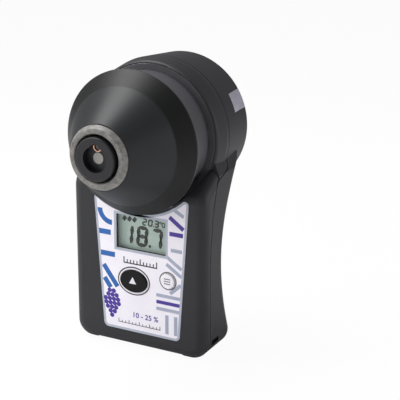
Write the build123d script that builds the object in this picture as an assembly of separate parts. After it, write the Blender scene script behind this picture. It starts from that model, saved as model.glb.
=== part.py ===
from build123d import *
import os
from math import cos, hypot, pi, sin

# A hand-held meter that reads the sugar in a fruit with near-infrared light.
# A big round head with a conical hood and a soft nose stands on a flat grip
# with a small display and two keys; two AAA cells lie across the grip's foot.
#
# Lengths are in millimetres.  +X is the viewer's right, the face looks
# towards -Y and +Z is up.  Pieces are drawn with y = 0 on the grip's face and
# are moved by face_y when they are saved, which puts the origin at the centre
# of the footprint's box.

# ---- head ----------------------------------------------------------------
axis_z = 88.0            # head axis above the feet
head_r = 30.0            # radius at the seam
head_front_r = 29.2
head_back_r = 28.0
head_front = 11.3        # face plane to the head's front rim
head_seam = 21.0
head_widest = 18.5       # depth where the head is widest
head_back = 42.0
head_rim_round = 1.5
head_back_round = 1.6
wall = 1.8               # moulded wall of both cases
seat_depth = 1.8         # counterbore that takes the hood's flange
seat_bore_r = 17.5

# ---- hood and nose --------------------------------------------------------
nose_reach = 30.2        # face plane to the front of the sensor barrel
nose_ring_front = 29.0   # ahead of the face
hood_front = 26.9
hood_front_r = 12.9
hood_flare = 10.2        # where the cone turns into its wider rim
hood_flare_r = 23.4
hood_rim = 4.0
hood_rim_r = 28.8
neck_r = 25.6
flange_r = 28.3
flange_t = 1.6
flange_gap = 0.25        # groove round the flange
hood_wall = 1.8
hood_fit = 0.12
nose_ring_r = 12.5
nose_ring_bore = 9.3
nose_ring_depth = 5.0
barrel_r = 8.4
barrel_bore_r = 6.6
barrel_plate = 3.5       # solid front of the barrel behind its recess
recess_r = 5.0
recess_depth = 2.9
detector_r = 2.15
emitter_r = 1.8
emitter_up = 4.3         # emitter above the detector
emitter_bore_r = 1.4
emitter_proud = 0.6      # emitter's sleeve ahead of the recess floor
emitter_sleeve_back = 1.6
emitter_dome_r = 1.3
emitter_dome_back = 0.6  # dome's tip behind the recess floor
detector_proud = 0.2
detector_t = 1.2
sensor_board_back = 1.8  # board behind the barrel's plate
sensor_board_t = 1.0
clip_w, clip_t = 1.3, 1.6
carrier_t = 2.0
collar_gap = 1.1         # rim's flat edge
hood_mouth = 2.0         # solid nose behind the ring's seat
hood_screw_cover = 1.0   # blind end of a screw's hole in its boss
hood_rounds = {1: 0.25, 2: 1.2, 3: 0.45, 4: 0.4, 5: 0.8}
hood_waist = 1.0         # the outline turns in to the neck here
ring_bevel = 1.1
ring_edge = 0.3          # bevel's foot ahead of the cone
ring_rounds = {0: 0.6, 1: 0.5}
barrel_round = 0.5
flange_round = 0.3
cable_w, cable_t = 6.0, 0.3
cable_bend = 2.4
cable_down = 3.0         # cable leaves this far below the axis
cable_behind = 1.9       # cable's drop behind the hood's bulkhead

# ---- grip -----------------------------------------------------------------
grip_half_w = 30.2
grip_top = 80.0
ledge_z = 75.0           # the side leans in above this height
ledge_in = 2.4
shoulder_z = 69.5        # the face ends here beside the hood
shoulder_rise = 7.5      # and rises to meet the head
shoulder_round = 8.0
foot_round = 7.0         # lower corners, seen from the front
front_round = 4.2
rear_round = 4.6
arch_h = 1.5             # shallow arch between the two feet
arch_half_w = 21.0
saddle_r = 29.0            # round hollow in the face under the hood
saddle_wall = 0.6
# rear outline from the foot up, as (depth behind the face, height)
rear_line = [(28.6, -1.0), (24.6, 8.5), (21.3, 18.0), (18.6, 30.0), (17.9, 41.0),
             (19.6, 52.5), (24.2, 64.5), (31.0, 77.0), (34.0, 82.0)]
# seam between the cases under the head, from the top down, as (depth, height)
seam_low = [(10.4, 73.4), (7.0, 62.0), (4.8, 45.0), (4.9, 22.0), (5.4, -4.0)]
seam_rounds = [3.0, 4.0, 25.0, 60.0, 60.0]
seam_jog_z = 76.4        # the seam leaves the head's circle here
bite = 0.2               # overlap that joins a boss or a rib to its wall
slip = 0.05              # gap between two pieces that lie together
overlap = 0.5
tiny = 0.01
near_line = 0.8          # an edge this near the rear outline is on it
seal_t = 0.35
seal_in = 0.55           # seal's edge under the case's skin

# ---- face -----------------------------------------------------------------
panel_x = 1.6            # panel centre line, right of the grip's centre
panel_half_w = 18.9      # at panel_ref_z
panel_taper = 0.068      # half width gained per mm of height
panel_ref_z = 28.0
panel_bottom = 7.2
panel_corner = 2.2
panel_gap_r = 0.9        # panel's top edge outside the saddle
panel_top_round = 1.6
panel_t = 0.35
panel_pocket = 0.4
panel_fit = 0.12
lcd_half_w = 11.25
lcd_half_h = 7.2
lcd_z = 49.8
window_lip = 0.9
window_t = 1.0
start_dx, start_z = -3.3, 29.4
start_half_w, start_half_h = 6.2, 4.7
menu_dx, menu_z = 12.3, 32.4
menu_r = 3.1
key_gap = 0.2
key_proud = 0.7
key_travel = 0.8
key_flange = 1.0
key_flange_t = 0.6
key_stem_r = 1.5
key_round = 0.42
front_wall = 2.0
face_pad_w, face_pad_h = 30.0, 20.0      # thick pad behind the keys
mat_box = (-12.2, 20.9, 20.4, 38.4)      # key mat: left, right, bottom, top

# ---- inside ---------------------------------------------------------------
key_stem_end = 3.3       # depth of a key's stem at rest
board_y = 5.4
board_t = 1.0
board_half_w = 24.0
board_bottom, board_top = 6.0, 57.0
board_gap = 0.3
switch_h = 0.9
switch_half = 2.6
plunger_h = 0.3
plunger_r = 1.1
lcd_grow = 0.5           # glass beyond its window
lcd_back = 0.3           # glass behind the face's wall
lcd_t = 1.7
frame_grow = 1.4
frame_fit = 0.6
lcd_case_fit = 0.2
connector_up = 1.5       # connector above the glass's lower edge
connector_half = 1.0
socket_half_w, socket_h = 4.5, 1.6
socket_z0, socket_z1 = 50.5, 54.0
cable_end_z = 52.2
# chips on the board: left edge, lower edge, width, height
chips = [(-13.5, 41.5, 7.0, 7.0), (-3.0, 42.5, 5.0, 4.0), (5.0, 43.0, 6.0, 5.0), (13.0, 42.0, 4.0, 3.0)]
thermistor_box = (-4.2, -2.4, 1.0, 2.0)  # left, right, and up from the axis
thermistor_t = 0.8
loop_half_w, loop_z0, loop_z1 = 15.0, 8.6, 19.4
loop_w, loop_t, loop_back = 2.4, 0.3, 0.1
chip_t = 1.0
tray_y = 6.9
tray_t = 0.6
tray_half_w = 24.2
tray_bottom = 4.2
tray_bar_half_w, tray_bar_back = 20.0, 12.4
tray_bar_z0, tray_bar_z1 = 27.6, 28.4
tray_boss_back = 13.6
tray_boss_floor = 0.6
cell_r = 5.25            # AAA cell
cell_len = 44.5
nub_r = 1.9
nub_len = 1.0
cell_upper = (13.1, 22.1)    # depth, height
cell_lower = (15.3, 10.9)
contact_t = 0.4
contact_half = 2.4
contact_low = 1.9
contact_foot_x = 25.45
leaf_back_x = 25.4
leaf_in = 0.6            # leaf narrower than the plate at each edge
leaf_fold = [-0.9, 0.3, 1.2, -0.1]       # heights of the leaf's bends
cell_round = 0.5
cover_half_w = 25.0
cover_bottom, cover_top = 5.2, 38.4
cover_wall = 1.5
cover_corner = 3.0
cover_gap = 0.2
gasket_t = 0.3
gasket_w = 1.5
gasket_gap = 0.1
ledge_t = 1.2
ledge_out = 0.6          # ledge under the case's skin round the opening
gasket_fit = 0.2
cover_face_y = 12.0      # the cover's prism starts well inside the case
rib_x0, rib_x1 = 25.5, 26.5      # ribs that hold the contacts
rib_y0, rib_y1 = 8.0, 20.0
rib_z0, rib_z1 = 9.4, 29.0
lock_z = 31.9
lock_r = 3.6
lock_head_t = 1.6
lock_shank_r = 1.8
lock_gap = 0.1
lock_boss = 0.8
lock_boss_y = 14.4
lock_in = 0.2            # lock's head below the cover's skin
lock_shank_end = 1.5
coin_slot_w = 1.3
coin_slot_half = 2.9
coin_slot_depth = 0.9
slot_y0, slot_y1 = 6.9, 12.9     # strap slot behind the seam
slot_z0, slot_z1 = 4.9, 7.3
slot_x0, slot_x1 = 25.8, 28.0    # the slot turns down between these
slot_wall = 1.2
band_z0, band_z1 = 95.8, 103.4   # plain metal band round the back
band_front = 29.9
band_t = 1.0
band_gap = 0.25
post_x, post_z = 21.5, 50.5      # lower case screws
head_post_x, head_post_z = 21.0, 75.5
post_r = 3.2
post_end = 8.0
post_start = 4.0
screw_r = 1.15
screw_head_r = 2.2
screw_head_t = 1.6
screw_gap = 0.15
screw_head_y = 12.0
head_screw_head_y = 30.0
plug_t = 2.0
plug_in = 0.3            # plug below the skin
plug_over = 1.2          # plug above the screw's head
screw_bottom = 0.6
head_screw_bottom = 3.5
screw_bite = 0.05
hood_screw_n = 3
hood_screw_at = 21.8
hood_boss_r = 2.5
hood_boss_len = 5.6

face_y = (nose_reach - head_back) / 2
y_axis = Axis((0, 0, axis_z), (0, 1, 0))
reach = 100.0            # longer than the object, for cutting tools


# ---- small makers -----------------------------------------------------------
def save(name, shape):
    export_step(Pos(0, face_y, 0) * shape, f"parts/{name}.step")


def block(x0, x1, y0, y1, z0, z1):
    centre = Pos((x0 + x1) / 2, (y0 + y1) / 2, (z0 + z1) / 2)
    return centre * Box(x1 - x0, y1 - y0, z1 - z0)


def rod(r, y0, y1, x=0.0, z=axis_z):
    return Pos(x, (y0 + y1) / 2, z) * Rot(90, 0, 0) * Cylinder(r, y1 - y0)


def tube(r_out, r_in, y0, y1, x=0.0, z=axis_z):
    return rod(r_out, y0, y1, x, z) - rod(r_in, y0 - overlap, y1 + overlap, x, z)


def prism(outline, y0, y1):
    """An outline in X and Z, carried back from y0 to y1."""
    return extrude(Plane.XZ.offset(-y0) * outline, amount=y1 - y0, dir=(0, 1, 0))


def turned(points, rounds=None):
    """A (depth, radius) outline turned about the head's axis."""
    lifted = [(y, axis_z + r) for y, r in points]
    face = make_face(Polyline(*lifted, close=True))
    for index, radius in (rounds or {}).items():
        corner = Vector(*lifted[index], 0)
        face = fillet(min(face.vertices(), key=lambda v: (Vector(*v) - corner).length), radius)
    return revolve(Plane.YZ * face, axis=y_axis)


def inset_line(points, inset):
    """The rear outline moved towards the face, square to itself."""
    moved = []
    for i, (y, z) in enumerate(points):
        (ya, za), (yb, zb) = points[max(i - 1, 0)], points[min(i + 1, len(points) - 1)]
        run = hypot(yb - ya, zb - za)
        moved.append((y - inset * (zb - za) / run, z + inset * (yb - ya) / run))
    return moved


# ---- both cases as one form, at any inset -----------------------------------
def head_form(inset):
    front = head_front if inset == 0 else head_front + seat_depth + inset
    rounds = {1: head_rim_round, 3: head_back_round} if inset == 0 else None
    return turned([(front, 0), (front, head_front_r - inset), (head_widest, head_r - inset),
                   (head_back - inset, head_back_r - inset), (head_back - inset, 0)], rounds)


def grip_form(inset):
    bottom = 0.0 if inset == 0 else arch_h + inset
    line = inset_line(rear_line, inset)
    rear = Spline(*line)
    high, back = line[-1][1], head_front + overlap
    low = (inset, shoulder_z - inset)
    side = make_face(Curve() + [
        rear, Line(line[-1], (back, high)), Line((back, high), (back, low[1] + shoulder_rise)),
        Line((back, low[1] + shoulder_rise), low), Line(low, (inset, line[0][1])),
        Line((inset, line[0][1]), line[0])])
    corner = min(side.vertices(), key=lambda v: hypot(v.X - low[0], v.Y - low[1]))
    side = fillet(corner, shoulder_round)
    half_w = grip_half_w - inset
    corner = foot_round - inset
    outline = Pos(0, (grip_top + bottom) / 2) * Rectangle(2 * half_w, grip_top - bottom)
    low = outline.vertices().sort_by(Axis.Y)[:2]
    outline = fillet(low, corner)
    form = extrude(Plane.YZ * side, amount=reach, both=True) & prism(outline, -overlap, reach)
    form = fillet([e for e in form.edges() if on_front(e, inset, half_w)], front_round - inset)
    seen = form.edges().filter_by(lambda e: e.center().Z < grip_top - overlap)
    rear_edges = [e for e in seen if on_rear(e, line)]
    form = fillet(rear_edges, rear_round - inset)
    lean_top = grip_top + overlap
    lean = Polyline((half_w, ledge_z), (half_w - ledge_in, lean_top), (reach, lean_top), (reach, ledge_z),
                    close=True)
    side_cut = prism(make_face(lean), -overlap, reach)
    form = form - side_cut - mirror(side_cut, about=Plane.YZ)
    skin = min(inset, saddle_wall)
    saddle_end = head_front + (0 if inset == 0 else seat_depth + inset)
    saddle_end_r = flange_r + flange_gap + skin
    saddle = turned([(-overlap, 0), (-overlap, saddle_r + skin), (saddle_end, saddle_end_r), (saddle_end, 0)])
    return form - saddle


def on_front(edge, inset, half_w):
    """True for an edge round the face, or along a side up to the head."""
    mid = edge @ 0.5
    on_face = abs(mid.Y - inset) < tiny and mid.Z < shoulder_z / 2
    on_side = abs(abs(mid.X) - half_w) < tiny and mid.Y < head_front and mid.Z > shoulder_z / 4
    return on_face or on_side


def on_rear(edge, line):
    """True for an edge whose middle lies on the rear outline."""
    mid = edge @ 0.5
    for (ya, za), (yb, zb) in zip(line, line[1:]):
        if min(za, zb) - overlap <= mid.Z <= max(za, zb) + overlap:
            share = (mid.Z - za) / (zb - za)
            if abs(mid.Y - (ya + share * (yb - ya))) < near_line:
                return True
    return False


forms = {}


def case_form(inset):
    if inset not in forms:
        forms[inset] = head_form(inset) + grip_form(inset)
    return forms[inset]


def front_side(back=0.0, down=0.0):
    """Everything ahead of the seam, moved back and down a little if asked."""
    top, far = reach + axis_z, -reach
    foot_y, foot_z = seam_low[-1]
    seam = FilletPolyline((head_seam, top), (head_seam, seam_jog_z), *seam_low, radius=seam_rounds)
    outline = make_face(Curve() + [
        seam, Line((foot_y, foot_z), (far, foot_z)), Line((far, foot_z), (far, top)),
        Line((far, top), (head_seam, top))])
    ahead = Pos(0, back, -down) * extrude(Plane.YZ * outline, amount=reach, both=True)
    return ahead + rod(saddle_r + saddle_wall + bite, -reach, head_front + seat_depth + wall + bite)


def arch():
    slope = arch_h
    corners = [(-arch_half_w, 0), (-arch_half_w + slope, arch_h), (arch_half_w - slope, arch_h),
               (arch_half_w, 0)]
    return prism(make_face(Polyline(*corners, close=True)), -overlap, reach)


def shell():
    """Both cases as one wall, with the hood's seat and the arch cut."""
    skin = case_form(0) - case_form(wall)
    seat = rod(flange_r + flange_gap, head_front - overlap, head_front + seat_depth)
    return skin - seat - rod(seat_bore_r, head_front, head_front + seat_depth + wall + overlap) - arch()


# ---- face panel, window and keys ---------------------------------------------
start_x = panel_x + start_dx
menu_x = panel_x + menu_dx


def panel_outline(grow=0.0):
    def half(z):
        return panel_half_w + panel_taper * (z - panel_ref_z) + grow
    low, high = panel_bottom - grow, axis_z
    corners = [(panel_x - half(low), low), (panel_x + half(low), low),
               (panel_x + half(high), high), (panel_x - half(high), high)]
    face = make_face(Polyline(*corners, close=True))
    face = fillet(face.vertices().sort_by(Axis.Y)[:2], panel_corner)
    face = face - Pos(0, axis_z) * Circle(saddle_r + panel_gap_r - grow)
    low_part = face.faces().sort_by(lambda f: f.center().Y)[0]
    return fillet(low_part.vertices().sort_by(Axis.Y)[-2:], panel_top_round)


def lcd_outline(grow=0.0):
    return Pos(panel_x, lcd_z) * Rectangle(2 * (lcd_half_w + grow), 2 * (lcd_half_h + grow))


def start_outline(grow=0.0):
    return Pos(start_x, start_z) * Ellipse(start_half_w + grow, start_half_h + grow)


def menu_outline(grow=0.0):
    return Pos(menu_x, menu_z) * Circle(menu_r + grow)


def face_panel():
    back = panel_pocket
    panel = prism(panel_outline(), back - panel_t, back)
    for hole in (lcd_outline(), start_outline(key_gap), menu_outline(key_gap)):
        panel -= prism(hole, -overlap, wall)
    return panel


def key(outline):
    """A hard key cap with its retaining flange and stem."""
    cap = prism(outline(), -key_proud, front_wall)
    front_edges = cap.edges().filter_by(lambda e: abs(e.center().Y + key_proud) < tiny)
    cap = fillet(front_edges, key_round)
    flange_y = front_wall + slip
    centre = outline().center()
    flange = prism(outline(key_flange), flange_y, flange_y + key_flange_t)
    return (cap + prism(outline(), front_wall, flange_y) + flange
            + rod(key_stem_r, flange_y, key_stem_end, centre.X, centre.Y))


def key_seal():
    """Silicone mat behind the face, open round each key's flange."""
    y0 = front_wall + slip
    left, right, bottom, top = mat_box
    mat = block(left, right, y0, y0 + key_flange_t, bottom, top)
    for outline in (start_outline, menu_outline):
        mat -= prism(outline(key_flange + key_gap), 0, reach)
    return mat


def switch(x, z):
    body = block(x - switch_half, x + switch_half, board_y - switch_h, board_y,
                 z - switch_half, z + switch_half)
    return body + rod(plunger_r, board_y - switch_h - plunger_h, board_y - switch_h, x, z)


# ---- display ------------------------------------------------------------------
lcd_y = front_wall + lcd_back


def lcd_frame():
    """A U-shaped holder, open at the top under the head."""
    base = prism(lcd_outline(frame_grow), front_wall + slip, board_y - slip)
    base -= prism(lcd_outline(frame_fit), 0, reach)
    return base - block(-reach, reach, 0, reach, lcd_z + lcd_half_h + frame_fit, reach)


def lcd_module():
    return prism(lcd_outline(lcd_grow), lcd_y, lcd_y + lcd_t)


def lcd_connector():
    y0, z = lcd_y + lcd_t, lcd_z - lcd_half_h + connector_up
    low, high = z - connector_half, z + connector_half
    return block(panel_x - lcd_half_w, panel_x + lcd_half_w, y0, board_y - slip, low, high)


# ---- cases ----------------------------------------------------------------------
posts = [(post_x, post_z), (-post_x, post_z)]
head_posts = [(head_post_x, head_post_z), (-head_post_x, head_post_z)]
key_pad_centre = (start_x + 4.0, start_z + 2.0)


def hood_screw_places():
    for i in range(hood_screw_n):
        turn = -pi / 2 + 2 * pi * i / hood_screw_n
        yield hood_screw_at * cos(turn), axis_z + hood_screw_at * sin(turn)


def front_case():
    case = shell() & front_side()
    inside = case_form(wall) & front_side()
    for x, z in posts:
        case += rod(post_r, wall - bite, post_end, x, z) & front_side()
    for x, z in head_posts:
        case += rod(post_r, head_front + seat_depth, head_seam, x, z) & case_form(bite)
    for x, z in posts + head_posts:
        start = front_wall if z == post_z else head_front + seat_depth + screw_bottom
        case -= rod(screw_r + screw_bite, start, reach, x, z)
    pad = lcd_outline(frame_grow) + Pos(*key_pad_centre) * Rectangle(face_pad_w, face_pad_h)
    case += prism(pad, wall - bite, front_wall) & (inside + case_form(overlap))
    case -= prism(panel_outline(panel_fit), -overlap, panel_pocket)
    case -= prism(lcd_outline(window_lip + panel_fit), 0, panel_pocket + window_t)
    case -= prism(lcd_outline(lcd_case_fit), 0, front_wall + overlap)
    for hole in (start_outline(key_gap), menu_outline(key_gap)):
        case -= prism(hole, -overlap, front_wall + overlap)
    for x, z in hood_screw_places():
        case -= rod(screw_r + screw_gap, head_front, head_seam, x, z)
    return case


def cover_outline(grow=0.0):
    height = cover_top - cover_bottom
    return Pos(0, (cover_top + cover_bottom) / 2) * RectangleRounded(
        2 * (cover_half_w + grow), height + 2 * grow, max(cover_corner + grow, overlap))


def rear_case():
    seam = front_side() + front_side(seal_t, seal_t)
    case = shell() - seam
    for x, z in posts + head_posts:
        case += (rod(post_r, post_start, reach, x, z) & case_form(bite)) - seam
    rib = block(rib_x0, rib_x1, rib_y0, rib_y1, rib_z0, rib_z1)
    case += (rib + mirror(rib, about=Plane.YZ)) & case_form(bite)
    under = cover_wall + gasket_t + gasket_gap
    ledge = case_form(under) - case_form(under + ledge_t)
    ledge_ring = cover_outline(ledge_out) - cover_outline(-gasket_w - gasket_fit)
    case += ledge & prism(ledge_ring, cover_face_y, reach)
    case -= (case_form(0) - case_form(under)) & prism(cover_outline(cover_gap), cover_face_y, reach)
    strap = block(slot_x0 - slot_wall, grip_half_w, slot_y0 - slot_wall, slot_y1 + slot_wall,
                  0, slot_z1 + slot_wall)
    case += (strap & case_form(bite)) - seam - arch()
    case -= block(slot_x0, reach, slot_y0, slot_y1, slot_z0, slot_z1)
    case -= block(slot_x0, slot_x1, slot_y0, slot_y1, -overlap, slot_z1)
    for x, z in posts:
        case -= rod(screw_head_r + screw_gap, screw_head_y, reach, x, z)
        case -= rod(screw_r + screw_gap, 0, reach, x, z)
    for x, z in head_posts:
        case -= rod(post_r + slip, 0, head_seam + slip, x, z)
        case -= rod(screw_head_r + screw_gap, head_screw_head_y, reach, x, z)
        case -= rod(screw_r + screw_gap, 0, reach, x, z)
    return case - band_space(band_t + slip, 0.0)


def band_space(depth, gap):
    strip = block(-reach, reach, band_front + gap, reach, band_z0 + gap, band_z1 - gap)
    return (head_form(0) - head_form(depth)) & strip


def case_seal():
    ribbon = front_side(seal_t, seal_t) - front_side()
    seal = (case_form(seal_in) - case_form(wall)) & ribbon
    return seal - arch()


def case_screws():
    group = Part()
    for x, z in posts:
        group += rod(screw_head_r, screw_head_y, screw_head_y + screw_head_t, x, z) + rod(
            screw_r, front_wall + screw_bottom, screw_head_y, x, z)
    for x, z in head_posts:
        y0 = head_screw_head_y
        group += rod(screw_head_r, y0, y0 + screw_head_t, x, z)
        group += rod(screw_r, head_front + head_screw_bottom, y0, x, z)
    return group


def screw_plugs():
    group, plug_r = Part(), screw_head_r + slip
    for x, z in posts:
        group += rod(plug_r, screw_head_y + screw_head_t + plug_over, reach, x, z) & case_form(plug_in)
    for x, z in head_posts:
        group += rod(plug_r, head_back - plug_in - plug_t, head_back - plug_in, x, z)
    return group


# ---- battery bay -----------------------------------------------------------------
def battery_cover():
    cover = (case_form(0) - case_form(cover_wall)) & prism(cover_outline(), cover_face_y, reach)
    cover += rod(lock_r + lock_boss, lock_boss_y, reach, 0, lock_z) & case_form(overlap)
    lock_seat = lock_seat_y()
    cover -= rod(lock_r + lock_gap, lock_seat, reach, 0, lock_z)
    return cover - rod(lock_shank_r + lock_gap, 0, reach, 0, lock_z)


def lock_seat_y():
    """Depth of the lock's seat, so that its head ends level with the cover."""
    return rear_depth(lock_z) - lock_head_t - lock_in


def rear_depth(z):
    for (ya, za), (yb, zb) in zip(rear_line, rear_line[1:]):
        if za <= z <= zb:
            return ya + (yb - ya) * (z - za) / (zb - za)


def cover_gasket():
    skin = case_form(cover_wall + gasket_gap) - case_form(cover_wall + gasket_gap + gasket_t)
    return skin & prism(cover_outline(-gasket_fit) - cover_outline(-gasket_w), cover_face_y, reach)


def cover_lock():
    y0 = lock_seat_y() + slip
    shank = rod(lock_shank_r, tray_y + tray_t + lock_shank_end, y0, 0, lock_z)
    lock = rod(lock_r, y0, y0 + lock_head_t, 0, lock_z) + shank
    coin = block(-coin_slot_half, coin_slot_half, y0 + lock_head_t - coin_slot_depth, reach,
                 lock_z - coin_slot_w / 2, lock_z + coin_slot_w / 2)
    return lock - coin


def battery_tray():
    floor = tray_y + tray_t
    tray = block(-tray_half_w, tray_half_w, tray_y, floor, tray_bottom, cover_top)
    tray += block(-tray_bar_half_w, tray_bar_half_w, floor, tray_bar_back, tray_bar_z0, tray_bar_z1)
    tray += rod(lock_shank_r + lock_gap + lock_boss, floor, tray_boss_back, 0, lock_z)
    return tray - rod(lock_shank_r + lock_gap, floor + tray_boss_floor, reach, 0, lock_z)


def cell(place, nub_side):
    y, z = place
    can_len = cell_len - nub_len
    middle = -nub_side * nub_len / 2
    can = Pos(middle, y, z) * Rot(0, 90, 0) * Cylinder(cell_r, can_len)
    rims = can.edges().filter_by(GeomType.CIRCLE)
    can = fillet(rims, cell_round)
    nub = Pos(nub_side * (cell_len / 2 - nub_len / 2), y, z) * Rot(0, 90, 0) * Cylinder(nub_r, nub_len)
    return can + nub


def contact_plate(place, side):
    y, z = place
    x, low, high = cell_len / 2 + slip, z - contact_low, z + contact_half
    plate = block(x, x + contact_t, y - contact_half, y + contact_half, low, high)
    foot = block(x, contact_foot_x, y - contact_half, y - contact_half + contact_t, low, high)
    both = plate + foot
    return both if side > 0 else mirror(both, about=Plane.YZ)


def contact_leaf(place, side):
    """A folded strip: its back lies on the rib, its nose presses the cell."""
    y, z = place
    x0, x1 = cell_len / 2 + slip, leaf_back_x
    t, low, high = contact_t, z - contact_low, z + contact_half
    heel, bend, tip, nose = (z + up for up in leaf_fold)
    fold = Polyline((x1, low), (x1, high), (x1 - t, high), (x1 - t, heel), (x0 + t, bend), (x0 + t, tip),
                    (x0, tip),
                    (x0, nose), (x1 - t, low), close=True)
    strip = prism(make_face(fold), y - contact_half + leaf_in, y + contact_half - leaf_in)
    return strip if side > 0 else mirror(strip, about=Plane.YZ)


# ---- boards ------------------------------------------------------------------------
def main_board():
    board = block(-board_half_w, board_half_w, board_y, board_y + board_t, board_bottom, board_top)
    for x, z in posts:
        board -= rod(post_r + board_gap, 0, reach, x, z)
        board -= block(min(x, 2 * x), max(x, 2 * x), 0, reach, z, reach)
    return board


def board_chips():
    y0 = board_y + board_t
    group = Part()
    for x, z, w, h in chips:
        group += block(x, x + w, y0, y0 + chip_t, z, z + h)
    return group


def flex_socket():
    y0 = board_y + board_t
    return block(-socket_half_w, socket_half_w, y0, y0 + socket_h, socket_z0, socket_z1)


def antenna():
    y0, inner_half = front_wall + loop_back, loop_half_w - loop_w
    outer = block(panel_x - loop_half_w, panel_x + loop_half_w, y0, y0 + loop_t, loop_z0, loop_z1)
    return outer - block(panel_x - inner_half, panel_x + inner_half, 0, reach,
                         loop_z0 + loop_w, loop_z1 - loop_w)


# ---- hood and nose --------------------------------------------------------------------
neck_end = head_front + seat_depth - flange_t - slip
bulkhead_back = nose_ring_depth - nose_ring_front + hood_mouth


def hood_cone():
    f, r = -hood_front, hood_front_r
    outer = turned([(f, 0), (f, r), (-hood_flare, hood_flare_r), (-hood_rim, hood_rim_r),
                    (collar_gap - hood_rim, hood_rim_r), (-hood_waist, neck_r), (neck_end, neck_r),
                    (neck_end, 0)], hood_rounds)
    slope = (hood_flare_r - r) / (hood_front - hood_flare)
    t = hood_wall
    start = bulkhead_back
    start_r = r + slope * (start + hood_front) - 1.25 * t
    inner = turned([(start, 0), (start, start_r), (t / 2 - hood_flare, hood_flare_r - 1.1 * t),
                    (-hood_rim, hood_rim_r - 1.6 * t), (hood_waist - hood_rim, hood_rim_r - 1.8 * t),
                    (hood_waist, neck_r - t), (neck_end + overlap, neck_r - t), (neck_end + overlap, 0)])
    cone = outer - inner
    cone -= rod(nose_ring_r + hood_fit, -reach, nose_ring_depth - nose_ring_front + slip)
    cone -= rod(barrel_r + hood_fit, -reach, 0)
    boss_start = neck_end - hood_boss_len
    for x, z in hood_screw_places():
        cone += rod(hood_boss_r, boss_start, neck_end, x, z) & rod(neck_r - bite, -hood_waist, reach)
        cone -= rod(screw_r + screw_bite, boss_start + hood_screw_cover, reach, x, z)
    return cone


def hood_flange():
    y0 = head_front + seat_depth - flange_t
    ring = turned([(y0, seat_bore_r), (y0, flange_r), (y0 + flange_t, flange_r), (y0 + flange_t, seat_bore_r)],
                  {1: flange_round})
    for x, z in hood_screw_places():
        ring -= rod(screw_r + screw_gap, 0, reach, x, z)
    return ring


def hood_screws():
    group = Part()
    y0 = head_front + seat_depth + wall
    for x, z in hood_screw_places():
        group += rod(screw_head_r, y0, y0 + screw_head_t, x, z)
        group += rod(screw_r, neck_end - hood_boss_len + hood_screw_cover + screw_bottom, y0, x, z)
    return group


def nose_ring():
    """Soft ring that seals on the fruit, with a bevel outside and a round lip."""
    f, b = -nose_ring_front, nose_ring_depth - nose_ring_front
    edge = -hood_front - ring_edge
    return turned([(f, nose_ring_bore), (f, nose_ring_r - ring_bevel), (edge, nose_ring_r), (b, nose_ring_r),
                   (b, nose_ring_bore)], ring_rounds)


recess_floor = recess_depth - nose_reach
plate_back = recess_floor + barrel_plate
window_back = recess_floor + detector_t
sleeve_back = recess_floor + emitter_sleeve_back
emitter_z = axis_z + emitter_up
carrier_r = hood_screw_at - hood_boss_r - board_gap
sensor_board_y = plate_back + sensor_board_back


def sensor_barrel():
    end = neck_end
    body = turned([(-nose_reach, 0), (-nose_reach, barrel_r), (end - carrier_t, barrel_r),
                   (end - carrier_t, carrier_r), (end, carrier_r), (end, 0)], {1: barrel_round})
    body -= rod(recess_r, -reach, recess_floor)
    body -= rod(barrel_bore_r, plate_back, reach)
    body -= rod(detector_r + slip, -reach, reach)
    return body - rod(emitter_r + slip, -reach, 0, 0, emitter_z)


def detector_window():
    return rod(detector_r, recess_floor - detector_proud, window_back)


def photodiode():
    base = rod(detector_r + bite, plate_back + sensor_board_back / 2, sensor_board_y)
    return base + rod(detector_r - slip, window_back + slip, sensor_board_y)


def emitter_ring():
    return tube(emitter_r, emitter_bore_r, recess_floor - emitter_proud, sleeve_back, 0, emitter_z)


def emitter():
    base = rod(emitter_r - slip, sleeve_back + slip, sensor_board_y, 0, emitter_z)
    base &= rod(barrel_bore_r - bite, -nose_reach, 0) + rod(emitter_r, -nose_reach, plate_back, 0, emitter_z)
    dome_y = recess_floor + emitter_dome_back - emitter_proud
    return rod(emitter_dome_r, dome_y, sleeve_back + slip, 0, emitter_z) + base


def sensor_board():
    return rod(barrel_bore_r - bite, sensor_board_y, sensor_board_y + sensor_board_t)


def thermistor():
    y0 = sensor_board_y + sensor_board_t
    left, right, low, high = thermistor_box
    return block(left, right, y0, y0 + thermistor_t, axis_z + low, axis_z + high)


def board_clip():
    y0 = sensor_board_y + sensor_board_t + slip
    return tube(barrel_bore_r - slip, barrel_bore_r - clip_w, y0, y0 + clip_t)


def flex_cable():
    """Flat ribbon from the sensor board, through the neck, to its socket."""
    y0 = sensor_board_y + sensor_board_t + slip
    z0 = axis_z - cable_down
    drop_y = head_front + seat_depth + wall + cable_behind
    socket_y = board_y + board_t + socket_h + slip
    route = FilletPolyline((y0, z0), (drop_y, z0), (drop_y, cable_end_z), (socket_y, cable_end_z),
                           radius=cable_bend)
    path = Plane.YZ * route
    section = Plane(origin=(0, y0, z0), x_dir=(1, 0, 0), z_dir=(0, 1, 0)) * Rectangle(cable_w, cable_t)
    return sweep(section, path=path)


# ---- all the pieces -----------------------------------------------------------------------
def clear_window():
    return prism(lcd_outline(window_lip), panel_pocket, panel_pocket + window_t)


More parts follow.
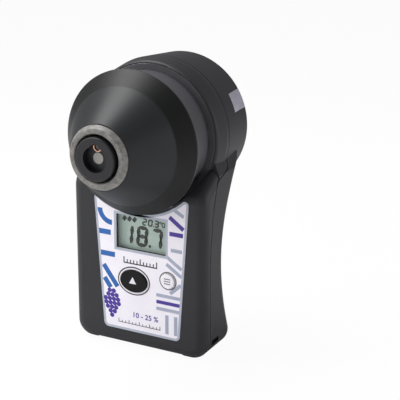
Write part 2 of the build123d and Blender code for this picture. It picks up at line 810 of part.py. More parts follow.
pieces = {
    "front_case": front_case, "rear_case": rear_case, "case_seal": case_seal, "case_screws": case_screws,
    "screw_plugs": screw_plugs, "rear_band": lambda: band_space(band_t, band_gap),
    "hood_cone": hood_cone, "hood_flange": hood_flange, "hood_screws": hood_screws, "nose_ring": nose_ring,
    "sensor_barrel": sensor_barrel, "detector_window": detector_window, "photodiode": photodiode,
    "emitter_ring": emitter_ring, "light_emitter": emitter, "sensor_board": sensor_board,
    "thermistor": thermistor, "board_clip": board_clip, "flex_cable": flex_cable, "flex_socket": flex_socket,
    "face_panel": face_panel, "display_window": clear_window, "display_glass": lcd_module,
    "display_frame": lcd_frame, "display_connector": lcd_connector,
    "start_key": lambda: key(start_outline), "menu_key": lambda: key(menu_outline), "key_seal": key_seal,
    "start_switch": lambda: switch(start_x, start_z), "menu_switch": lambda: switch(menu_x, menu_z),
    "main_board": main_board, "board_chips": board_chips, "antenna_loop": antenna,
    "battery_tray": battery_tray, "cell_upper": lambda: cell(cell_upper, 1),
    "cell_lower": lambda: cell(cell_lower, -1),
    "contact_plates": lambda: contact_plate(cell_upper, 1) + contact_plate(cell_lower, -1),
    "contact_leaves": lambda: contact_leaf(cell_upper, -1) + contact_leaf(cell_lower, 1),
    "battery_cover": battery_cover, "cover_gasket": cover_gasket, "cover_lock": cover_lock,
}
os.makedirs("parts", exist_ok=True)
for name, make in pieces.items():
    save(name, make())
print("label plane at y =", face_y)
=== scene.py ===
import math

import bmesh
import bpy
from mathutils import Matrix, Vector
from mathutils.bvhtree import BVHTree


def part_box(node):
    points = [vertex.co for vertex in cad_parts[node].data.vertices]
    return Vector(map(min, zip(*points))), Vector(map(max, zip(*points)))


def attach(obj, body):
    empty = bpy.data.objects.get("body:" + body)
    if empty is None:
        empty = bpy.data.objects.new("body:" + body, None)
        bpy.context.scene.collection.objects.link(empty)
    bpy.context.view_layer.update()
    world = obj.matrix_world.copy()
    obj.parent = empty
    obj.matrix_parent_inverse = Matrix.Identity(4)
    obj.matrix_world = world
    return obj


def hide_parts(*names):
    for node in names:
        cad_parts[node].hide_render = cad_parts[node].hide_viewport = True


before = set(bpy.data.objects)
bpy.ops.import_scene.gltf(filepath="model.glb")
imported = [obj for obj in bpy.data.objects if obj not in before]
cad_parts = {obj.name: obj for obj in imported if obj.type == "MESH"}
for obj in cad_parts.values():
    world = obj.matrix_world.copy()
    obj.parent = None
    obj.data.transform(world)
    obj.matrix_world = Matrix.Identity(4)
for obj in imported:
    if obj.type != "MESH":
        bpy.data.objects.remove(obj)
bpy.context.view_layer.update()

# ---- Front and rear case --------------------------------------------------
# Two moulded half shells in charcoal ABS, screwed together from behind. Their
# spark-eroded mould leaves a fine grain: matt, with a soft and wide gloss.
MM = 0.001
KEY_PROUD = 0.7                                   # keys stand this far out of the grip's face
FACE_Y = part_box("menu_key")[0].y / MM + KEY_PROUD
GRAIN_MM = 0.45                                   # coarser than the real grain, so that it shows
BUMP_MM = 0.05                                    # height of the grain at full strength
TONE_LIFT, TONE_STOPS = 0.25, (0.35, 0.65)        # where the slow drift turns from dark to light
GRAIN_DETAIL, DRIFT_DETAIL = 2.0, 3.0
GRAIN_SPAN, SMOOTHEST = (0.3, 0.7), 0.02          # range of the grain's noise, and the lowest roughness
CASE_SHEEN = 0.36                                 # moulded plastics here shine less than most


def linear(hex_colour):
    """An sRGB hex colour as the linear colour that a shader takes."""
    parts = [int(hex_colour[i:i + 2], 16) / 255 for i in (1, 3, 5)]
    return [p / 12.92 if p <= 0.04045 else ((p + 0.055) / 1.055) ** 2.4 for p in parts] + [1]


def add_node(tree, kind, inputs=None, **settings):
    """Adds a node, sets it up, and links or fills the inputs that are named."""
    made = tree.nodes.new(kind)
    for name, value in settings.items():
        setattr(made, name, value)
    for name, value in (inputs or {}).items():
        if isinstance(value, bpy.types.NodeSocket):
            tree.links.new(value, made.inputs[name])
        else:
            made.inputs[name].default_value = value
    return made


def new_material(name, **sockets):
    """A material and its Principled shader, with the shader's plain values set."""
    made = bpy.data.materials.new(name)
    made.use_nodes = True
    shader = made.node_tree.nodes["Principled BSDF"]
    for socket, value in sockets.items():
        shader.inputs[socket.replace("_", " ")].default_value = value
    return made, made.node_tree, shader


def surface(name, dark, light, roughness, grain_mm, bump, drift_mm=16, spread=0.05, stretch=(1, 1, 1),
            **sockets):
    """A surface whose tone drifts slowly from dark to light, under a fine grain in bump and gloss."""
    made, tree, shader = new_material(name, **sockets)
    place = add_node(tree, "ShaderNodeTexCoord").outputs["Object"]
    place = add_node(tree, "ShaderNodeMapping", {"Vector": place, "Scale": stretch}).outputs["Vector"]
    grain = add_node(tree, "ShaderNodeTexNoise", {
        "Vector": place, "Scale": 1 / (grain_mm * MM), "Detail": GRAIN_DETAIL})
    drift = add_node(tree, "ShaderNodeTexNoise", {
        "Vector": place, "Scale": 1 / (drift_mm * MM), "Detail": DRIFT_DETAIL})
    blend = add_node(tree, "ShaderNodeMath", {
        0: drift.outputs["Fac"], 1: grain.outputs["Fac"], 2: TONE_LIFT}, operation="MULTIPLY_ADD")
    tone = add_node(tree, "ShaderNodeValToRGB", {"Fac": blend.outputs[0]})
    for stop, at, colour in zip(tone.color_ramp.elements, TONE_STOPS, (dark, light)):
        stop.position, stop.color = at, linear(colour)
    gloss = add_node(tree, "ShaderNodeMapRange", {
        "Value": grain.outputs["Fac"], "From Min": GRAIN_SPAN[0], "From Max": GRAIN_SPAN[1],
        "To Min": max(roughness - spread, SMOOTHEST), "To Max": roughness + spread})
    relief = add_node(tree, "ShaderNodeBump", {
        "Height": grain.outputs["Fac"], "Strength": bump, "Distance": BUMP_MM * MM})
    tree.links.new(tone.outputs["Color"], shader.inputs["Base Color"])
    tree.links.new(gloss.outputs["Result"], shader.inputs["Roughness"])
    tree.links.new(relief.outputs["Normal"], shader.inputs["Normal"])
    return made


def dress(material, *nodes):
    """Gives CAD nodes their material."""
    for node in nodes:
        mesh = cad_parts[node].data
        mesh.materials.clear()
        mesh.materials.append(material)


case_abs = surface("ABS_charcoal_spark_eroded", "#242428", "#2a2a2f", 0.5, GRAIN_MM, 0.35,
                   Specular_IOR_Level=CASE_SHEEN)
dress(case_abs, "front_case", "rear_case")

# ---- Floor, lamps and camera ----------------------------------------------
# A pale floor under big soft lamps. A strip high on the left draws the bright
# streak along the cone, and weaker lamps fill the right side, top and front.
TARGET_MM = (28.1, -6.25, 68.5)      # to the right of the meter, which stands left of the middle
AZIMUTH, ELEVATION, ROLL = (math.radians(a) for a in (27.27, 18.16, 0.42))
DISTANCE_MM = 456.6
LENS_MM = 108.0
LAMP_TARGET_MM = (0, 0, 60)
ROOM_LIGHT = 0.28
LAMPS = {   # name: (place, size, watts)
    "strip_left": ((-420, -260, 330), (200, 420), 2.1),
    "side_right": ((560, 160, 170), (300, 420), 1.1),
    "top": ((-190, 10, 520), (280, 260), 2.0),
    "front": ((-60, -620, 160), (420, 300), 0.3),
}


def aim(obj, place_mm, target_mm, roll=0.0):
    """Puts a lamp or the camera in its place, facing its target."""
    place, target = Vector(place_mm) * MM, Vector(target_mm) * MM
    look = (target - place).to_track_quat("-Z", "Y").to_matrix().to_4x4()
    obj.matrix_world = Matrix.Translation(place) @ look @ Matrix.Rotation(roll, 4, "Z")
    bpy.context.scene.collection.objects.link(obj)


toward = Vector((math.sin(AZIMUTH) * math.cos(ELEVATION), -math.cos(AZIMUTH) * math.cos(ELEVATION),
                 math.sin(ELEVATION)))
camera = bpy.data.objects.new("camera", bpy.data.cameras.new("camera"))
camera.data.lens = LENS_MM
aim(camera, Vector(TARGET_MM) + toward * DISTANCE_MM, TARGET_MM, ROLL)
bpy.context.scene.camera = camera
bpy.context.scene.view_settings.view_transform = "Standard"

for name, (place, size, watts) in LAMPS.items():
    lamp = bpy.data.lights.new(name, "AREA")
    lamp.shape, lamp.size, lamp.size_y, lamp.energy = "RECTANGLE", size[0] * MM, size[1] * MM, watts
    aim(bpy.data.objects.new(name, lamp), place, LAMP_TARGET_MM)

world = bpy.data.worlds.new("studio")
world.use_nodes = True
bpy.context.scene.world = world
sky = world.node_tree
sky.nodes.clear()
rays = add_node(sky, "ShaderNodeLightPath")
room = add_node(sky, "ShaderNodeBackground", {"Color": linear("#ffffff"), "Strength": ROOM_LIGHT})
white = add_node(sky, "ShaderNodeBackground", {"Color": linear("#ffffff"), "Strength": 1.0})
seen = add_node(sky, "ShaderNodeMixShader", {
    0: rays.outputs["Is Camera Ray"], 1: room.outputs[0], 2: white.outputs[0]})
add_node(sky, "ShaderNodeOutputWorld", {"Surface": seen.outputs[0]})

FLOOR_HALF_M = 3.0
FLOOR_GLOW = 0.95         # share of plain white in what the camera sees of the floor
paper, tree, shader = new_material("paper_white_matt", Roughness=0.9)
shader.inputs["Base Color"].default_value = linear("#f2f2f2")
rays = add_node(tree, "ShaderNodeLightPath")
share = add_node(tree, "ShaderNodeMath", {
    0: rays.outputs["Is Camera Ray"], 1: FLOOR_GLOW}, operation="MULTIPLY")
glow = add_node(tree, "ShaderNodeEmission", {"Color": linear("#ffffff"), "Strength": 1.0})
both = add_node(tree, "ShaderNodeMixShader", {0: share.outputs[0], 1: shader.outputs[0], 2: glow.outputs[0]})
tree.links.new(both.outputs[0], tree.nodes["Material Output"].inputs["Surface"])
bm = bmesh.new()
bmesh.ops.create_grid(bm, x_segments=1, y_segments=1, size=FLOOR_HALF_M)
mesh = bpy.data.meshes.new("floor")
bm.to_mesh(mesh)
bm.free()
mesh.materials.append(paper)
floor = bpy.data.objects.new("floor", mesh)
bpy.context.scene.collection.objects.link(floor)

# ---- Seal, screws and plugs of the case ------------------------------------
# A black silicone cord lies in the seam. Four zinc-plated screws hold the
# cases from behind, under soft plugs pressed into their holes.
seal_silicone = surface("silicone_black_moulded", "#070708", "#0c0c0d", 0.6, 0.3, 0.2)
plug_rubber = surface("TPE_charcoal_matt", "#28282b", "#303034", 0.62, 0.4, 0.35)
zinc_steel = surface("steel_zinc_plated", "#b4b6b8", "#cbccce", 0.32, 0.2, 0.15, Metallic=1.0)
dress(seal_silicone, "case_seal", "cover_gasket", "key_seal")
dress(plug_rubber, "screw_plugs")
dress(zinc_steel, "case_screws", "hood_screws", "contact_plates", "contact_leaves")

# ---- Band round the back of the head ---------------------------------------
# A plain strip of bright anodised aluminium, rolled to the head's curve and
# bonded in a shallow channel. Brushing along its length draws fine lines.
# Its eased edges carry a near-white painted highlight.
WELD_MM, CAD_WELD_MM = 0.001, 0.002        # points nearer than this are one point
BAND_EASE, BAND_CORNER_DEG = 0.3, 50       # rounded edge that catches the light
band_metal = surface("aluminium_anodised_brushed", "#c4c3d2", "#d4d3e2", 0.34, 0.6, 0.12, spread=0.05,
                     stretch=(0.1, 0.1, 2.5), Metallic=0.8)
band_edge_highlight = surface("aluminium_polished_edge", "#eceaf6", "#f8f6ff", 0.3, 0.5, 0.05, Metallic=0.35)


def finish_piece(bm, name, material, body="body", sharp_deg=32):
    """Turns a bmesh, in metres, into a shaded piece that rides on a body."""
    bmesh.ops.remove_doubles(bm, verts=bm.verts, dist=WELD_MM * MM)
    bmesh.ops.recalc_face_normals(bm, faces=bm.faces)
    mesh = bpy.data.meshes.new(name)
    bm.to_mesh(mesh)
    bm.free()
    mesh.polygons.foreach_set("use_smooth", [True] * len(mesh.polygons))
    mesh.set_sharp_from_angle(angle=math.radians(sharp_deg))
    mesh.materials.append(material)
    piece = bpy.data.objects.new(name, mesh)
    bpy.context.scene.collection.objects.link(piece)
    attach(piece, body)
    return piece


bm = bmesh.new()
bm.from_mesh(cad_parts["rear_band"].data)
bmesh.ops.remove_doubles(bm, verts=bm.verts, dist=CAD_WELD_MM * MM)
bmesh.ops.dissolve_limit(bm, angle_limit=math.radians(1), verts=bm.verts, edges=bm.edges)
edges = [e for e in bm.edges
         if len(e.link_faces) == 2 and e.calc_face_angle() > math.radians(BAND_CORNER_DEG)]
made = bmesh.ops.bevel(bm, geom=edges, offset=BAND_EASE * MM, segments=2, profile=0.5, affect="EDGES",
                       material=-1, clamp_overlap=True)
for face in made["faces"]:
    face.material_index = 1             # the second material, a near-white painted highlight on the eased edges
band = finish_piece(bm, "rear_band_strip", band_metal, sharp_deg=BAND_CORNER_DEG)
band.data.materials.append(band_edge_highlight)
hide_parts("rear_band")

# ---- Hood, flange and nose --------------------------------------------------
# A moulded cone in semi-gloss ABS carries a grey elastomer ring. Its rim band
# is painted near black, a painted shade, and its collar lighter, a painted light.
# The ring's filler shows as small specks.
HOOD_FLARE, HOOD_RIM = 10.2, 4.0      # ahead of the grip's face: the cone's edge, and the rim's
CHANGE_MM = 0.8                       # depth over which one tone gives way to the next
hood_abs = surface("ABS_charcoal_semi_gloss", "#1a1c1e", "#202224", 0.46, 0.3, 0.1,
                   Specular_IOR_Level=CASE_SHEEN)
# The flange's grey is much lighter than the case's ABS, a painted highlight that stands for light on its
# rounded shoulder.
flange_abs_painted_light = surface("ABS_dark_satin", "#4a4a4e", "#545459", 0.42, 0.3, 0.15)
nose_rubber = surface("elastomer_grey_speckled", "#565453", "#96938f", 0.42, 0.25, 0.3, drift_mm=2.2)
tree, shader = hood_abs.node_tree, hood_abs.node_tree.nodes["Principled BSDF"]
place = add_node(tree, "ShaderNodeTexCoord").outputs["Object"]
depth = add_node(tree, "ShaderNodeSeparateXYZ", {"Vector": place}).outputs["Y"]
tone = shader.inputs["Base Color"].links[0].from_socket
# Painted shade and light by depth: near black on the rim band behind the cone's edge, then a lighter grey on
# the collar behind the rim, standing for the light that falls on it.
for start, colour in ((FACE_Y - HOOD_FLARE - CHANGE_MM / 2, "#020303"), (FACE_Y - HOOD_RIM, "#4d4d52")):
    behind = add_node(tree, "ShaderNodeMapRange", {
        "Value": depth, "From Min": start * MM, "From Max": (start + CHANGE_MM) * MM})
    tone = add_node(tree, "ShaderNodeMix", {        # sockets 6 and 7 are the two colours
        "Factor": behind.outputs["Result"], 6: tone, 7: linear(colour)}, data_type="RGBA").outputs[2]
tree.links.new(tone, shader.inputs["Base Color"])
dress(hood_abs, "hood_cone")
dress(flange_abs_painted_light, "hood_flange")
dress(nose_rubber, "nose_ring")

# ---- Optics ------------------------------------------------------------------
# The barrel is black ABS with a counterbore. Behind its floor sit the detector,
# under a frosted window, and the lamp, in a copper sleeve.
barrel_abs = surface("ABS_black_satin", "#1d1d20", "#242428", 0.42, 0.3, 0.2, Specular_IOR_Level=CASE_SHEEN)
window_glass = surface("glass_frosted", "#8f8b88", "#a5a19d", 0.22, 0.4, 0.1, IOR=1.52, Coat_Weight=0.5)
copper = surface("copper_bare_turned", "#c09078", "#dcb8a4", 0.3, 0.3, 0.2, Metallic=1.0)
led_resin = surface("epoxy_dark_red", "#2c0f0a", "#4a1a12", 0.15, 0.4, 0.05, Coat_Weight=0.6)
dress(barrel_abs, "sensor_barrel")
dress(window_glass, "detector_window")
dress(copper, "emitter_ring")
dress(led_resin, "light_emitter")

# ---- Boards, parts and ribbon -------------------------------------------------
# Glass-epoxy boards under green solder mask, with moulded chips, a polyimide
# ribbon, an antenna loop faced with ferrite, and nylon clips and holders.
board_mask = surface("solder_mask_green", "#0f3d22", "#15512e", 0.35, 0.5, 0.1)
chip_epoxy = surface("epoxy_chip_black", "#18181a", "#222225", 0.55, 0.15, 0.3)
ribbon = surface("polyimide_amber", "#7c3e0e", "#a05a1c", 0.3, 0.6, 0.1)
ferrite = surface("ferrite_grey_sintered", "#2e2e31", "#3c3c40", 0.7, 0.2, 0.4)
nylon = surface("nylon_natural_moulded", "#c9c5b8", "#dcd8cc", 0.45, 0.3, 0.2)
dress(board_mask, "main_board", "sensor_board")
dress(chip_epoxy, "board_chips", "photodiode", "thermistor", "start_switch", "menu_switch")
dress(ribbon, "flex_cable")
dress(ferrite, "antenna_loop")
dress(nylon, "flex_socket", "board_clip", "display_frame", "battery_tray")
dress(seal_silicone, "display_connector")

# ---- Face panel ----------------------------------------------------------------
# A sheet of polycarbonate, screen-printed on its front and bonded in a pocket.
# Its ink lies as a thin layer with a crisp edge.
PANEL_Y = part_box("face_panel")[0].y / MM
INK_T, INK_GAP = 0.02, 0.005        # ink's thickness, and the gap that keeps it off the face
INK_SHADE = 0.94                    # its darkest tone, as a share of its colour
BORDER_W = 1.0
panel_film = surface("polycarbonate_printed_white", "#f0ebf5", "#f8f4fc", 0.34, 0.5, 0.08)
dress(panel_film, "face_panel")


def ink(name, hex_colour):
    """Screen-print ink: nearly flat in tone, a little glossier where it lies thick."""
    dark = "#" + "".join(f"{int(int(hex_colour[i:i + 2], 16) * INK_SHADE):02x}" for i in (1, 3, 5))
    return surface(name, dark, hex_colour, 0.36, 0.25, 0.12, drift_mm=6)


def upright(bm, verts, x, z, y):
    """Stands a shape drawn on the floor plane, in mm, up against a face at depth y."""
    place = Matrix.Translation((x * MM, y * MM, z * MM))
    stand = Matrix.Rotation(math.pi / 2, 4, "X") @ Matrix.Scale(MM, 4)
    bmesh.ops.transform(bm, matrix=place @ stand, verts=verts)


def bar(bm, x0, z0, x1, z1, width, y):
    """A straight printed bar from one point to another."""
    length, turn = math.hypot(x1 - x0, z1 - z0), math.atan2(z1 - z0, x1 - x0)
    verts = bmesh.ops.create_grid(bm, x_segments=1, y_segments=1, size=0.5)["verts"]
    bmesh.ops.scale(bm, vec=(length, width, 1), verts=verts)
    bmesh.ops.rotate(bm, cent=(0, 0, 0), matrix=Matrix.Rotation(turn, 3, "Z"), verts=verts)
    upright(bm, verts, (x0 + x1) / 2, (z0 + z1) / 2, y)


def disc(bm, x, z, half_w, half_h, y, segments=48, hole=0.0):
    """A printed disc, or a ring if hole says how wide its line is."""
    verts = bmesh.ops.create_circle(bm, cap_ends=True, segments=segments, radius=1)["verts"]
    bmesh.ops.scale(bm, vec=(half_w, half_h, 1), verts=verts)
    if not hole:
        upright(bm, verts, x, z, y)
        return
    bm.normal_update()
    face = verts[0].link_faces[0]
    before = set(bm.faces)
    bmesh.ops.inset_region(bm, faces=[face], thickness=hole, use_boundary=True, use_even_offset=True)
    upright(bm, list({v for f in set(bm.faces) - before | {face} for v in f.verts}), x, z, y)
    bmesh.ops.delete(bm, geom=[face], context="FACES")


def thicken(bm, depth=INK_T):
    """Gives flat ink its thickness along y: out of the panel, or backwards if depth is negative."""
    bmesh.ops.recalc_face_normals(bm, faces=bm.faces)
    side = bmesh.ops.extrude_face_region(bm, geom=list(bm.faces), use_keep_orig=True)
    moved = [v for v in side["geom"] if isinstance(v, bmesh.types.BMVert)]
    bmesh.ops.translate(bm, vec=(0, -depth * MM, 0), verts=moved)


INK_Y = PANEL_Y - INK_GAP
blue, purple, grey, black, silver = (ink(*pair) for pair in (
    ("ink_blue", "#1763b4"), ("ink_purple", "#43289a"), ("ink_grey_lavender", "#aab0c6"),
    ("ink_black", "#141416"), ("ink_silver_blue", "#b6bccb")))

BARS = {   # ends of each bar and its width
    blue: [(-18.0, 48.4, -12.2, 48.4, 2.2), (-17.0, 39.2, -10.4, 39.2, 2.2), (-15.8, 34.2, -9.4, 25.6, 2.2),
           (-15.5, 28.6, -12.6, 24.7, 2.2)],
    purple: [(14.6, 52.4, 20.6, 52.4, 1.8), (14.6, 59.2, 20.8, 54.9, 1.8), (8.6, 22.7, 19.4, 22.7, 1.5)],
    grey: [(8.6, 25.6, 19.6, 25.6, 1.4), (8.6, 19.8, 19.3, 19.8, 1.4), (13.4, 17.6, 13.4, 9.4, 1.5),
           (17.4, 17.6, 17.4, 9.4, 1.5), (14.9, 63.4, 20.9, 60.2, 1.5), (13.2, 42.6, 20.0, 38.2, 1.5),
           (13.2, 39.4, 20.0, 35.0, 1.5),
           (15.2, 45.6, 20.2, 45.6, 1.5), (14.9, 27.2, 19.7, 31.6, 1.5)],
}
RING_X, RING_Z, RING_CUT_Z, RING_R, RING_W = -11.6, 58.2, 50.5, 6.6, 2.2
BERRY_ROWS = [(2, 23.4), (3, 21.6), (4, 19.8), (4, 18.0), (3, 16.2), (2, 14.4), (1, 12.6)]
BERRIES_X, BERRY_STEP, BERRY_LEAN, BERRY_HALF_W, BERRY_HALF_H = -12.2, 1.95, 0.3, 1.02, 0.98
ROW_LIFT, BERRY_LIFT = 0.004, 0.002       # so that inks that overlap don't share a plane

for material, lines in BARS.items():
    bm = bmesh.new()
    for x0, z0, x1, z1, width in lines:
        bar(bm, x0, z0, x1, z1, width, INK_Y)
    if material is blue:        # a quarter ring runs under the hood
        disc(bm, RING_X, RING_Z, RING_R, RING_R, INK_Y, hole=RING_W)
        middles = {f: f.calc_center_median() / MM for f in bm.faces}
        bmesh.ops.delete(bm, geom=[f for f, at in middles.items() if at.z > RING_Z or (
            at.x > RING_X and at.z > RING_CUT_Z)], context="FACES")
    if material is purple:      # a plain cluster of berries at the lower left
        for row, (count, z) in enumerate(BERRY_ROWS):
            for i in range(count):
                x = BERRIES_X + BERRY_STEP * (i - (count - 1) / 2) + BERRY_LEAN * (row % 2)
                disc(bm, x, z, BERRY_HALF_W, BERRY_HALF_H, INK_Y - ROW_LIFT * row - BERRY_LIFT * i,
                     segments=24)
    thicken(bm)
    finish_piece(bm, "print_" + material.name[4:], material)

SCALES = (   # first tick, base height, count, step, every how many is tall, heights, widths, base line's ends
    (-9.0, 10.4, 13, 1.6, 3, (1.5, 0.9), (0.28, 0.28), (-9.2, 10.4)),
    (-6.2, 36.8, 11, 1.5, 5, (2.5, 1.5), (0.45, 0.5), (-6.4, 9.0)))
START_X, START_Z, START_RING_W, START_RING_H, START_LINE = -1.7, 29.4, 7.45, 6.1, 0.5
MENU_X, MENU_Z, MENU_RING_R, MENU_LINE = 13.9, 32.4, 3.85, 0.38
bm = bmesh.new()
for first, z, count, step, every, (tall, short), (tick_w, base_w), (left, right) in SCALES:
    for i in range(count):
        top = z + (short if i % every else tall)
        bar(bm, first + i * step, z, first + i * step, top, tick_w, INK_Y)
    bar(bm, left, z, right, z, base_w, INK_Y)
disc(bm, START_X, START_Z, START_RING_W, START_RING_H, INK_Y, hole=START_LINE, segments=72)
disc(bm, MENU_X, MENU_Z, MENU_RING_R, MENU_RING_R, INK_Y, hole=MENU_LINE)
thicken(bm)
finish_piece(bm, "print_black", black)

# The border follows the panel's edge and the window. The key openings have none.
FACING_FRONT = -0.9         # y of a normal that faces the front
BORDER_GAP = 0.008
KEY_HOLES = ((START_X, START_Z, 8.0), (MENU_X, MENU_Z, 4.6))
bm = bmesh.new()
bm.from_mesh(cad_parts["face_panel"].data)
bmesh.ops.remove_doubles(bm, verts=bm.verts, dist=CAD_WELD_MM * MM)
bmesh.ops.delete(bm, geom=[f for f in bm.faces if f.normal.y > FACING_FRONT], context="FACES")
inner = list(bm.faces)
bmesh.ops.inset_region(bm, faces=inner, thickness=BORDER_W * MM, use_boundary=True, use_even_offset=True)
bmesh.ops.delete(bm, geom=inner, context="FACES")
middles = {f: f.calc_center_median() / MM for f in bm.faces}
near_keys = [f for f, at in middles.items()
             if any(math.hypot(at.x - x, at.z - z) < radius for x, z, radius in KEY_HOLES)]
bmesh.ops.delete(bm, geom=near_keys, context="FACES")
bmesh.ops.translate(bm, vec=(0, -BORDER_GAP * MM, 0), verts=bm.verts)
thicken(bm)
finish_piece(bm, "print_border", silver)

# The range is set in the built-in font, whose capitals are 0.7 of its size.
RANGE_TEXT, RANGE_X, RANGE_Z, RANGE_H = "10 - 25 %", 3.4, 13.6, 2.2
FONT_CAPITALS, FONT_BOLD = 0.7, 0.018
curve = bpy.data.curves.new("print_range", "FONT")
curve.body, curve.size, curve.align_x, curve.offset = RANGE_TEXT, 1.0, "CENTER", FONT_BOLD
letters = bpy.data.objects.new("print_range_text", curve)
bm = bmesh.new()
bm.from_mesh(bpy.data.meshes.new_from_object(letters))
bpy.data.objects.remove(letters)
grow = RANGE_H / FONT_CAPITALS
bmesh.ops.scale(bm, vec=(grow, grow, 1), verts=bm.verts)
upright(bm, bm.verts, RANGE_X, RANGE_Z, INK_Y)
thicken(bm)
finish_piece(bm, "print_range", purple)

# ---- Display -------------------------------------------------------------------
# A reflective liquid-crystal cell behind a clear window. Its figures are dark
# segments that lean a little, on a grey-green polariser.
LCD_Z = 49.8                    # middle of the display
SEGMENT_GAP, SEGMENT_T = 0.02, 0.05
LCD_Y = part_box("display_glass")[0].y / MM - SEGMENT_GAP
LEAN = 0.09
lcd_film = surface("polariser_grey_green", "#9db0a8", "#adc0b8", 0.4, 0.6, 0.03, Coat_Weight=0.3)
lcd_ink = surface("liquid_crystal_dark", "#020605", "#060c0a", 0.5, 0.5, 0.02)
dress(lcd_film, "display_glass")
HAZE_MM, HAZE_ROUGHNESS = 5, (0.04, 0.12)       # size of faint finger haze, and its range of roughness
clear, tree, shader = new_material("acrylic_clear_polished", IOR=1.49, Alpha=0.03)
shader.inputs["Base Color"].default_value = linear("#cfd8d4")
place = add_node(tree, "ShaderNodeTexCoord").outputs["Object"]
haze = add_node(tree, "ShaderNodeTexNoise", {
    "Vector": place, "Scale": 1 / (HAZE_MM * MM), "Detail": DRIFT_DETAIL})
smear = add_node(tree, "ShaderNodeMapRange", {
    "Value": haze.outputs["Fac"], "To Min": HAZE_ROUGHNESS[0], "To Max": HAZE_ROUGHNESS[1]})
tree.links.new(smear.outputs["Result"], shader.inputs["Roughness"])
dress(clear, "display_window")

HEXAGON = 0.577                 # radius of a hexagon that is 1 across its flats
SEGMENTS = {   # which of the seven bars each figure lights: top, upper, middle, lower, bottom
    "0": "abcdef", "1": "bc", "2": "abged", "3": "abgcd", "7": "abc", "8": "abcdefg"}
PLACES = {"a": (0, 1, 0), "b": (0.5, 0.5, 1), "c": (0.5, -0.5, 1), "d": (0, -1, 0), "e": (-0.5, -0.5, 1),
          "f": (-0.5, 0.5, 1), "g": (0, 0, 0)}


def figure(bm, text, x, z, wide, half_high, thick):
    """One seven-segment figure, with its middle at x and z. Each segment is a drawn-out hexagon."""
    for letter in SEGMENTS[text]:
        across, up, standing = PLACES[letter]
        long = (half_high if standing else wide) / 2 - 0.5 * thick
        verts = bmesh.ops.create_circle(bm, cap_ends=True, segments=6, radius=thick * HEXAGON)["verts"]
        for side in (-1, 1):
            bmesh.ops.translate(bm, vec=(side * long, 0, 0), verts=[v for v in verts if v.co.x * side > 0])
        if standing:
            bmesh.ops.rotate(bm, cent=(0, 0, 0), matrix=Matrix.Rotation(math.pi / 2, 3, "Z"), verts=verts)
        bmesh.ops.translate(bm, vec=(across * wide, up * half_high, 0), verts=verts)
        for v in verts:
            v.co.x += LEAN * v.co.y
        upright(bm, verts, x, z, LCD_Y)


CHARGE_X, CHARGE_STEP, CHARGE_SLANT, CHARGE_W, CHARGE_Z = -7.6, 2.3, 1.2, 1.6, (LCD_Z + 4.1, LCD_Z + 5.7)
LCD_ROWS = (      # height, size (width, half height, thickness), figures and their places, then discs
    (LCD_Z - 1.6, (3.7, 3.65, 1.6), (("1", -5.6), ("8", 1.1), ("7", 7.7)),
     ((4.5, LCD_Z - 5.2, 0.62, 0.62, 0, 20),)),
    (LCD_Z + 4.7, (1.5, 1.25, 0.6), (("2", 2.2), ("0", 4.8), ("3", 7.6)),
     ((6.2, LCD_Z + 3.5, 0.26, 0.26, 0, 12), (9.4, LCD_Z + 5.5, 0.5, 0.5, 0.26, 20),
      (10.7, LCD_Z + 4.7, 0.85, 1.1, 0.4, 20))))
bm = bmesh.new()
for z, size, figures, discs in LCD_ROWS:
    for text, x in figures:
        figure(bm, text, x, z, *size)
    for x, disc_z, half_w, half_h, line, sides in discs:     # a point or a small ring
        disc(bm, x, disc_z, half_w, half_h, LCD_Y, segments=sides, hole=line)
for i in range(3):
    x = CHARGE_X + CHARGE_STEP * i
    bar(bm, x, CHARGE_Z[0], x + CHARGE_SLANT, CHARGE_Z[1], CHARGE_W, LCD_Y)
thicken(bm, SEGMENT_T)
finish_piece(bm, "display_segments", lcd_ink)

# ---- Keys ----------------------------------------------------------------------
# Two hard caps on a silicone mat: a black oval to start a reading and a small
# white one for the menu, each with a plain mark printed on it.
key_black = surface("ABS_black_satin_cap", "#030305", "#060609", 0.6, 0.4, 0.08, Specular_IOR_Level=0.25)
key_white = surface("ABS_white_satin", "#efecf3", "#f7f4fa", 0.36, 0.4, 0.1)
mark_white, mark_grey = ink("ink_white", "#f4f2f8"), ink("ink_mid_grey", "#6d6d78")
dress(key_black, "start_key")
dress(key_white, "menu_key")
KEY_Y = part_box("start_key")[0].y / MM - INK_GAP
START_MARK_R, START_MARK_SHIFT = 1.9, -0.2
MENU_MARK_HALF, MENU_MARK_LINE = 1.4, 0.4
bm = bmesh.new()
disc(bm, START_X + START_MARK_SHIFT, START_Z, START_MARK_R, START_MARK_R, KEY_Y, segments=3)
thicken(bm)
finish_piece(bm, "start_mark", mark_white, "start_key")
bm = bmesh.new()
for rise in (-1.0, 0.0, 1.0):
    bar(bm, MENU_X - MENU_MARK_HALF, MENU_Z + rise, MENU_X + MENU_MARK_HALF, MENU_Z + rise,
        MENU_MARK_LINE, KEY_Y)
thicken(bm)
finish_piece(bm, "menu_mark", mark_grey, "menu_key")

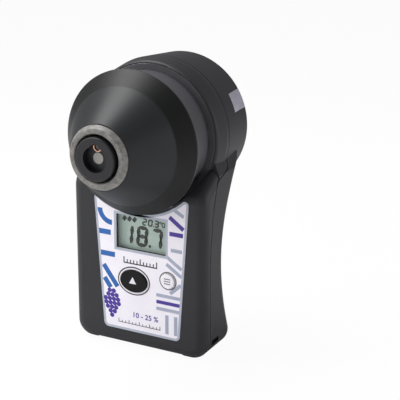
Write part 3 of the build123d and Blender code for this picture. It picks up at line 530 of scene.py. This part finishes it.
# ---- Battery bay ---------------------------------------------------------------
# Two AAA cells in printed sleeves lie across the foot, behind a gasketed cover
# in the case's own ABS. A black nylon lock with a coin slot holds it.
LOCK_Z = (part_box("cover_lock")[0].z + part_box("cover_lock")[1].z) / 2 / MM
cell_sleeve = surface("PVC_sleeve_graphite", "#5b5f66", "#6d7179", 0.25, 0.5, 0.06, Metallic=0.5)
lock_nylon = surface("nylon_black_moulded", "#18181a", "#222224", 0.45, 0.3, 0.3)
dress(cell_sleeve, "cell_upper", "cell_lower")
dress(case_abs, "battery_cover")
dress(lock_nylon, "cover_lock")
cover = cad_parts["battery_cover"].data
cover_tree = BVHTree.FromPolygons([v.co for v in cover.vertices], [p.vertices for p in cover.polygons])


def cover_y(x, z):
    """Depth of the cover's outside, in mm, straight behind a point."""
    return cover_tree.ray_cast(Vector((x, 100, z)) * MM, Vector((0, -1, 0)))[0].y / MM


RIDGES, RIDGE_FOOT_Z, RIDGE_STEP = 5, 12.4, 1.9
RIDGE_W, RIDGE_H, RIDGE_PROUD, RIDGE_EASE = 16.0, 0.9, 0.35, 0.28
bm = bmesh.new()
for i in range(RIDGES):         # thumb ridges, moulded in the cover
    z = RIDGE_FOOT_Z + RIDGE_STEP * i
    verts = bmesh.ops.create_cube(bm, size=1)["verts"]
    bmesh.ops.scale(bm, vec=(RIDGE_W * MM, 2 * RIDGE_PROUD * MM, RIDGE_H * MM), verts=verts)
    edges = list({e for v in verts for e in v.link_edges})
    made = bmesh.ops.bevel(bm, geom=edges, offset=RIDGE_EASE * MM, segments=2, profile=0.5,
                           affect="EDGES", material=-1)
    slope = math.atan2(cover_y(0, z + 0.5) - cover_y(0, z - 0.5), 1.0)
    place = Matrix.Translation((0, cover_y(0, z) * MM, z * MM)) @ Matrix.Rotation(-slope, 4, "X")
    bmesh.ops.transform(bm, matrix=place, verts=list({v for f in made["faces"] for v in f.verts}))
finish_piece(bm, "cover_ridges", case_abs, "battery_cover")

MARK_OUT, MARK_R, MARK_SUNK, MARK_T = 6.0, 0.9, 0.05, 0.12
bm = bmesh.new()                # a ring and a dot beside the lock, for open and shut
for x, line in ((-MARK_OUT, 0.25), (MARK_OUT, 0.0)):
    disc(bm, x, LOCK_Z, MARK_R, MARK_R, cover_y(x, LOCK_Z) - MARK_SUNK, segments=24, hole=line)
thicken(bm, -MARK_T)
finish_piece(bm, "cover_marks", mark_grey, "battery_cover")
